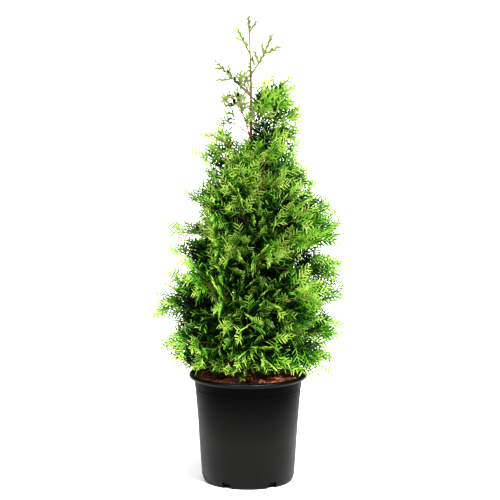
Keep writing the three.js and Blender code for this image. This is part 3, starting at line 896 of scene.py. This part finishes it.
def make_container(finish):
    """The wall's profile carried round, with drain holes in its foot, and its floor."""
    profile = np.concatenate([OUTSIDE, LIP, INSIDE])
    angle = wall_bearings()
    rows, columns = len(profile), len(angle)
    points = np.concatenate([carried_round(profile, angle), [[0, 0, 0], [0, 0, profile[-1, 1]]]])
    low = np.flatnonzero(profile[:, 1] <= DRAIN["height"])
    outer, inner = low[:len(low) // 2], low[len(low) // 2:][::-1]
    walls = halved(wall_faces(rows, columns, outer, inner))
    triangles = np.concatenate([walls, end_faces(rows, columns)])
    obj = piece("container", points, triangles, finish, smooth=True)
    obj.data.set_sharp_from_angle(angle=math.radians(38))
    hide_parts("pot")


# ---------------------------------------------------------------- peat


# The side of the plug: radius and height.
PEAT_SIDE = np.array([[78.5, 4.4], [84.2, 11], [86, 20], [97.2, 173], [98.4, 184], [99.2, 190]])


def rough_ground(x, y):
    """Lumps on the peat: a sum of waves in x and y, from about 60 mm down to 5 mm long."""
    slow = np.sin(x * 0.11 + 1) * np.cos(y * 0.13) + 0.5 * np.sin((x - y) * 0.07)
    lumps = np.sin(x * 0.37 + 2 * np.sin(y * 0.21)) * np.sin(y * 0.41 + 2 * np.sin(x * 0.19))
    crumbs = np.sin(x * 1.13 + 3 * np.sin(y * 0.53)) * np.sin(y * 1.21 + 3 * np.sin(x * 0.47))
    return slow * 1.2 + lumps * 0.9 + crumbs * 0.6


def make_peat(finish):
    """The plug of peat: a disc of height top + lumps(x, y) on a tapered side that fits the wall.

    The lumps are lower at the wall and round the stem.
    """
    columns, rings, middle = 150, 46, 1.5
    angle = np.arange(columns) * 2 * np.pi / columns
    radius = np.linspace(PEAT_SIDE[-1, 0], middle, rings)[:, None]
    x, y = radius * np.cos(angle), radius * np.sin(angle)
    edge = np.clip((PEAT_SIDE[-1, 0] - radius) / 6, 0, 1)
    z = PEAT_TOP - 0.8 + rough_ground(x, y) * edge * np.clip((radius - 6) / 10, 0.2, 1)
    top = np.stack([x, y, z], -1).reshape(-1, 3)
    centres = [[0, 0, PEAT_SIDE[0, 1]], [0, 0, PEAT_TOP - 0.6]]
    points = np.concatenate([carried_round(PEAT_SIDE, angle), top, centres])
    triangles = closed_faces(len(PEAT_SIDE) + rings, columns)
    obj = piece("peat_plug", points, triangles, finish, smooth=True)
    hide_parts("peat")


def crumbs(count, small, large, key, squash):
    """Lumps of twenty faces, scattered evenly over the peat: an icosahedron pulled out of round.

    They are from small to large in radius, most of them small, and squash flattens them.
    """
    golden = (1 + 5**0.5) / 2
    ring = [[0, 1, golden], [0, -1, golden], [0, 1, -golden], [0, -1, -golden]]
    corners = np.array([np.roll(c, turn) for turn in range(3) for c in ring]) / 1.9
    number = np.arange(count) + key
    radius = 96 * np.sqrt(draw(number, 0.008, 1))
    angle = draw(number + 0.37, 0, 2 * np.pi)
    x, y = radius * np.cos(angle), radius * np.sin(angle)
    size = draw(number + 0.71, 0, 1) ** 2 * (large - small) + small
    centre = np.stack([x, y, PEAT_TOP - 0.6 + rough_ground(x, y) + size * 0.1], -1)
    jitter = draw(np.arange(count * 36) + key * 3.1, 0.7, 1.25).reshape(count, 12, 3)
    points = corners * jitter * size[:, None, None] * np.array([1, 0.8, squash])
    spin = draw(number + 0.13, 0, 360)
    axis = np.broadcast_to(np.array([0, 0, 1.0]), points.shape)
    points = turned(points, axis, np.broadcast_to(spin[:, None], points.shape[:2]))
    return many(points + centre[:, None], hull_faces(corners))


def make_crumbs(finish):
    """Loose crumbs of peat and a few larger lumps of bark on the plug."""
    small, faces = crumbs(900, 0.8, 2.2, key=10, squash=0.75)
    large, more = crumbs(160, 1.8, 4.2, key=5000, squash=0.6)
    points, faces = np.concatenate([small, large]), np.concatenate([faces, more + len(small)])
    piece("peat_crumbs", points, faces, finish)


def hull_faces(corners):
    """The twenty faces of an icosahedron: all triples of corners one edge apart, turned outwards."""
    apart = np.linalg.norm(corners[:, None] - corners[None], axis=-1)
    edge = np.sort(apart[0])[1] * 1.01
    found = []
    for a in range(12):
        for b in range(a + 1, 12):
            for c in range(b + 1, 12):
                if max(apart[a, b], apart[b, c], apart[a, c]) < edge:
                    outward = np.dot(np.cross(corners[b] - corners[a], corners[c] - corners[a]), corners[a])
                    found.append([a, b, c] if outward > 0 else [a, c, b])
    return np.array(found)


# ---------------------------------------------------------------- stem


def make_stem(finish):
    """The stem: rings about its centre line, with a radius of the taper times 1 + bark relief.

    The relief is long furrows, sin(5 angle + a slow wander with height), with finer ridges,
    sin(11 angle + a wander), and knots, sin(height + cos angle)^6. It fades towards the tip.
    """
    columns, rows = 40, 260
    t = np.linspace(0, 1, rows)[:, None]
    angle = np.arange(columns) * 2 * np.pi / columns
    height = t * (PLANT_TOP - PEAT_TOP)
    furrow = np.sin(5 * angle + 2.4 * np.sin(height * 0.045) + height * 0.01)
    ridge = np.sin(11 * angle + 2 * np.sin(height * 0.13 + 1) - height * 0.03)
    knot = np.sin(height * 0.21 + np.cos(angle) * 2) ** 6
    relief = 0.06 * furrow + 0.035 * ridge + 0.05 * knot
    radius = np.maximum(stem_radius(t), TRUNK["least"]) * (1 + relief * np.clip(1.2 - t, 0, 1))
    centre = stem_point(t[:, 0])[:, None]
    around = np.stack([np.cos(angle), np.sin(angle), angle * 0], -1)
    points = (centre + around * radius[..., None]).reshape(-1, 3)
    points = np.concatenate([points, stem_point(np.array([0.0, 1.0]))])
    obj = piece("stem", points, closed_faces(rows, columns), finish, smooth=True)
    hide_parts("trunk")


# ---------------------------------------------------------------- limbs and foliage


def make_limbs(limbs, bark, skin):
    """The boughs and the leader's shoots in bark, and the thin limbs between them in young skin.

    A limb's radius at its foot grows with its length and is less higher up the stem.
    """
    foot = np.clip(limbs["length"] / 55, 0.9, 1.8) * np.clip(1.5 - limbs["start"][:, 2] / 800, 0.75, 1)
    foot = np.where(limbs["bare"] > 0, BOUGH["radius"], foot)
    main = limbs["main"]
    strong = np.maximum(foot[main], 1.0)
    points, faces = tubes(taken(limbs, main), strong, 0.6, sides=8, steps=22, last=0.9, ridge=0.07)
    boughs = piece("boughs", points, faces, bark, smooth=True)
    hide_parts(*nodes_of("bough_"))
    points, faces = tubes(taken(limbs, ~main), foot[~main] * 0.7, 0.4, sides=6, steps=12, last=0.8)
    piece("thin_limbs", points, faces, skin, smooth=True)


def make_twigs(sprays, skin):
    """The twig in the middle of each spray, thicker on a longer spray."""
    foot = np.clip(sprays["length"] / 100, 0.4, 0.9)
    points, faces = tubes(sprays, foot, 0.45, sides=4, steps=6, last=0.85)
    piece("twigs", points, faces, skin)


def nodes_of(prefix):
    """The solids whose names begin with a prefix."""
    return [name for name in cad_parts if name.startswith(prefix)]


def kept(growth, limbs):
    """The members that keep to their limb's space and stay clear of the pot and of the gaps."""
    inside = in_its_space(growth, limbs, SPACE_MARGIN)
    return taken(growth, inside & clear_of_pot(growth) & out_of_gaps(growth))


def grow_foliage(limbs):
    """Sprays on limbs, plumes on sprays and lobes on plumes; the ends of lines are plumes too.

    A member's place grows from a limb's foot to the tips.
    """
    top = limbs["tip"][:, 2]
    older = taken(limbs, top < YOUNG)
    sprays = sprout(older, SPRAYS)
    sprays["place"] = sprays["place"] * 0.5
    leaders = leading_part(older, LEADING["limb"])
    leaders["place"] = leaders["place"] * 0 + 0.5
    sprays = put_together(sprays, leaders, taken(limbs, (top >= YOUNG) & (top < BUDDING)))
    sprays = kept(sprays, limbs)
    ends = leading_part(sprays, LEADING["spray"])
    ends["place"] = ends["place"] + 0.7
    plumes = kept(put_together(sprout(sprays, PLUMES), ends), limbs)
    top_twigs = top_growth(limbs)
    buds = sprout(top_twigs, BUDS)
    buds["owner"] = buds["owner"] + len(plumes["key"])
    lobes = put_together(sprout(plumes, LOBES), buds)
    return sprays, put_together(plumes, top_twigs), taken(lobes, clear_of_pot(lobes))


def in_the_open(growth):
    """How free each member stands: exp(-number farther out / COVER) in its cell of the crown.

    A cell is a step of bearing by a step of height.
    """
    point, _ = on_line(growth, np.full(len(growth["key"]), 0.6))
    radius = np.hypot(point[:, 0], point[:, 1])
    sector = np.floor(np.degrees(np.arctan2(point[:, 1], point[:, 0])) / CELL["degrees"])
    cell = sector + 1000 * np.floor(point[:, 2] / CELL["height"])
    order = np.lexsort((-radius, cell))
    farther = np.empty(len(order))
    farther[order] = np.arange(len(order)) - np.searchsorted(cell[order], cell[order])
    return np.exp(-farther / COVER)


def painted_light_at_places(x, y, z):
    """The painted light and shade at the places, as a change in freshness: each falls off as exp(-(distance
    / size)^2).
    """
    change = z * 0
    for place_x, place_z, size, amount in LIT_AND_SHADED_PLACES:
        away = np.hypot(x - place_x, z - place_z) / size
        change = change + amount * np.exp(-(away**2))
    return change * np.clip(0.5 - y / 40, 0, 1)


def freshness(growth, free):
    """How fresh and lit each member is, from about 0 to 1: more so near a tip, and painted lighter where
    free and at the front.
    """
    x, y, z = growth["start"].T
    radius = np.hypot(x, y)
    forward = -y / np.maximum(radius, 20)
    fading = mix(1, FRESH_AND_LIGHT["front_above"], between(z, *FRESH_AND_LIGHT["front_range"]))
    fore = np.maximum(forward, -FRESH_AND_LIGHT["back"] * forward) * fading
    upper = between(z, *FRESH_AND_LIGHT["top_range"])
    outer = between(radius / np.maximum(crown_radius(z), 60), *FRESH_AND_LIGHT["outer_range"])
    # Painted light where a strand stands free of cover, most at the front; covered strands and the flanks
    # take painted shade.
    opened = FRESH_AND_LIGHT["open"] * mix(mix(*FRESH_AND_LIGHT["sides"], upper), 1, fore) * free
    grown = opened + mix(*FRESH_AND_LIGHT["tips"], fore) * growth["place"]
    fresh = FRESH_AND_LIGHT["base"] + FRESH_AND_LIGHT["top"] * upper + FRESH_AND_LIGHT["outer"] * outer * (1 - free)
    return fresh + grown + growth["mood"] + painted_light_at_places(x, y, z)


def strands(plumes, lobes):
    """The middles of the plumes and all the lobes as one growth, with plume, freshness with its painted
    light and shade, and width.
    """
    owner = lobes["owner"]
    count = len(plumes["key"])
    free = in_the_open(lobes)
    members = np.maximum(np.bincount(owner, minlength=count), 1)
    plume_free = np.bincount(owner, free, minlength=count) / members
    plumes["fresh"] = freshness(plumes, plume_free) + FRESH_AND_LIGHT["plume"]
    lobes["fresh"] = freshness(lobes, mix(plume_free[owner], free, OWN_FREEDOM))
    young = plumes["start"][:, 2] > STRAND["young_from"]
    wide = np.where(young, STRAND["width"] * STRAND["young_plume"], STRAND["width"] * STRAND["plume"])
    narrow = STRAND["width"] * draw(lobes["key"], *STRAND["lobe"])
    narrow = narrow * np.where(young[owner], STRAND["young_lobe"], 1)
    green = put_together(plumes, lobes)
    green["plume"] = np.concatenate([np.arange(count), owner])
    spread = np.clip(1.5 - 1.6 * green["fresh"], 1, STRAND["least_fresh_and_lit"])
    green["width"] = np.concatenate([wide, narrow]) * spread
    return green


def tint_of(green, plumes):
    """The number of each strand's tint: by its freshness with its painted light and shade, but some plumes
    are cool or olive.
    """
    number = {name: k for k, name in enumerate(TINTS)}
    plume = green["plume"]
    key, (x, _, z) = plumes["key"][plume], plumes["start"][plume].T
    tint = np.searchsorted(TINT_STEPS, green["fresh"])
    cool = draw(key + 61, 0, 1) < COOL_SHARE
    tint = np.where(cool & (tint == number["foliage_shaded"]), number["foliage_cool_shade"], tint)
    tint = np.where(cool & (tint == number["foliage_green"]), number["foliage_cool_green"], tint)
    share = OLIVE["share"] * between(z, OLIVE["from"], OLIVE["full"])
    share = share * ((x < OLIVE["left_of"]) | (z > OLIVE["all_over"]))
    olive = (draw(key + 67, 0, 1) < share) & (tint > number["foliage_shaded"])
    shade = green["fresh"] < OLIVE["shade"]
    return np.where(olive, np.where(shade, number["foliage_olive_shade"], number["foliage_olive"]), tint)


def make_foliage(plumes, lobes):
    """One piece of strands for each tint. Together they take the place of all the masses."""
    green = strands(plumes, lobes)
    tint = tint_of(green, plumes)
    for number, (name, (colour, roughness)) in enumerate(TINTS.items()):
        points, faces = strand_mesh(taken(green, tint == number))
        obj = piece(name, points, faces, foliage_finish(name, colour, roughness))
        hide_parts(*nodes_of("foliage_"))


def make_plant():
    """The stem, the limbs, and all that grows on them."""
    bark, skin = bark_finish(), twig_finish()
    make_stem(bark)
    limbs = grow_limbs()
    sprays, plumes, lobes = grow_foliage(limbs)
    make_limbs(limbs, bark, skin)
    make_twigs(sprays, skin)
    make_foliage(plumes, lobes)


# ---------------------------------------------------------------- stage, light and camera


def make_stage():
    """A plain white floor, wide enough to reach the horizon."""
    columns, below = 64, 0.0004
    rings = np.array([[0.6, -below], [3, -below], [15, -below], [80, -below], [400, -below]])
    points = carried_round(rings, np.arange(columns) * 2 * np.pi / columns).tolist()
    quads = sheet_faces(len(rings), columns)[:, ::-1].tolist()
    middle = disc_faces(columns, 0, len(points), True).tolist()
    mesh = bpy.data.meshes.new("floor")
    mesh.from_pydata(points + [[0, 0, -below]], [], quads + middle)
    floor = bpy.data.objects.new("floor", mesh)
    bpy.context.scene.collection.objects.link(floor)
    made, _, shader = material("white_sweep")
    set_on(shader, Base_Color=(0.93, 0.93, 0.93, 1), Roughness=0.9)
    mesh.materials.append(made)


def soft_sun(name, bearing, elevation, spread, strength):
    """Light from far off at a bearing and an elevation, from a patch of sky spread degrees wide."""
    lamp = bpy.data.lights.new(name, "SUN")
    lamp.energy, lamp.angle = strength, math.radians(spread)
    sun = bpy.data.objects.new(name, lamp)
    bpy.context.scene.collection.objects.link(sun)
    sun.rotation_euler = (math.radians(90 - elevation), 0, math.radians(bearing + 90))


def light_the_stage():
    """A white sky that the camera sees in full and the plant faintly, and four suns.

    The key comes from the front right, the fill from the front left, and the gamma lifts the shade.
    """
    world = bpy.data.worlds.new("studio")
    world.use_nodes = True
    tree = world.node_tree
    seen = add(tree, "ShaderNodeLightPath").outputs["Is Camera Ray"]
    strength = add(tree, "ShaderNodeMapRange", {"Value": seen}, To_Min=0.03, To_Max=1.0)
    tree.nodes["Background"].inputs["Color"].default_value = (1, 1, 1, 1)
    tree.links.new(strength.outputs["Result"], tree.nodes["Background"].inputs["Strength"])
    bpy.context.scene.world = world
    soft_sun("key", -58, 48, 5, 4.9)
    soft_sun("fill", -122, 46, 12, 1.9)
    soft_sun("top", -90, 78, 30, 1.2)
    soft_sun("back", 90, 48, 60, 1.2)
    view = bpy.context.scene.view_settings
    view.view_transform, view.look = "Standard", "None"
    view.exposure, view.gamma = 0.3, 0.74


def make_camera():
    """A long lens in front of the plant and a little above its top, looking slightly down."""
    lens = bpy.data.cameras.new("camera")
    lens.lens, lens.sensor_width = 135.6, 36
    camera = bpy.data.objects.new("camera", lens)
    bpy.context.scene.collection.objects.link(camera)
    camera.location = (0.0036, -3.5, 0.955)
    camera.rotation_euler = (math.radians(90 - 8.36), 0, 0)
    bpy.context.scene.camera = camera


make_stage()
light_the_stage()
make_camera()
make_container(pot_finish())
peat = peat_finish()
make_peat(peat)
make_crumbs(peat)
make_plant()

bpy.context.view_layer.update()
